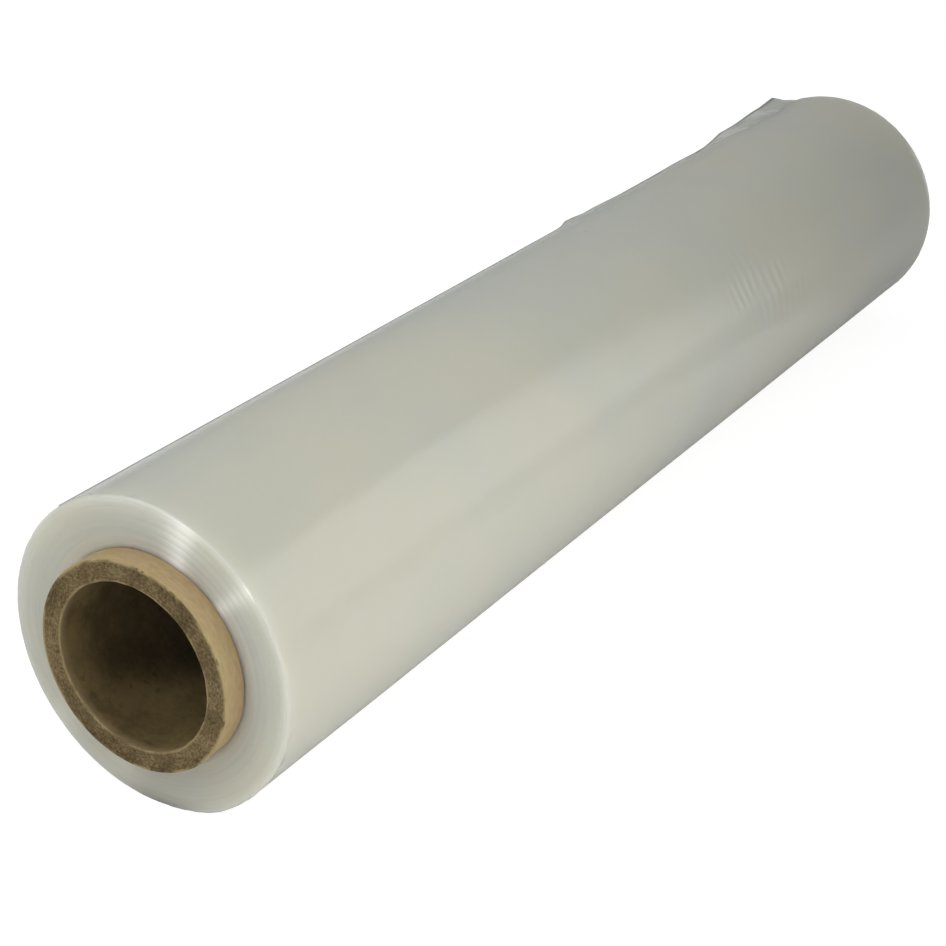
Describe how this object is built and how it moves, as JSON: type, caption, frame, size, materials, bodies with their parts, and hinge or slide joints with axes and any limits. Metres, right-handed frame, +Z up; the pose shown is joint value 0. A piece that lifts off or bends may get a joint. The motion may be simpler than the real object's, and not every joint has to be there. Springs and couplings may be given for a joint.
{
  "type": "stretch wrap roll",
  "caption": "Roll of clear stretch wrap film wound on a paper tube, lying on its side, with the tube standing out at both ends and one corner of the film's loose end lifted.",
  "frame": {"origin": "on the floor under the middle of the roll, on the flat that it rests on", "axes": "+Y along the roll's axis, away from the end that faces the viewer; +Z up; +X to the right"},
  "size_m": [0.0926, 0.472, 0.0921],
  "materials": {
    "core_board": "matt kraft board, darker speckled plies at the sawn ends",
    "clear_film": "glossy clear film, milky grey-green where many turns lie on each other"
  },
  "bodies": {
    "root": {"core_tube": "core_board", "film_roll": "clear_film"}
  },
  "joints": []
}
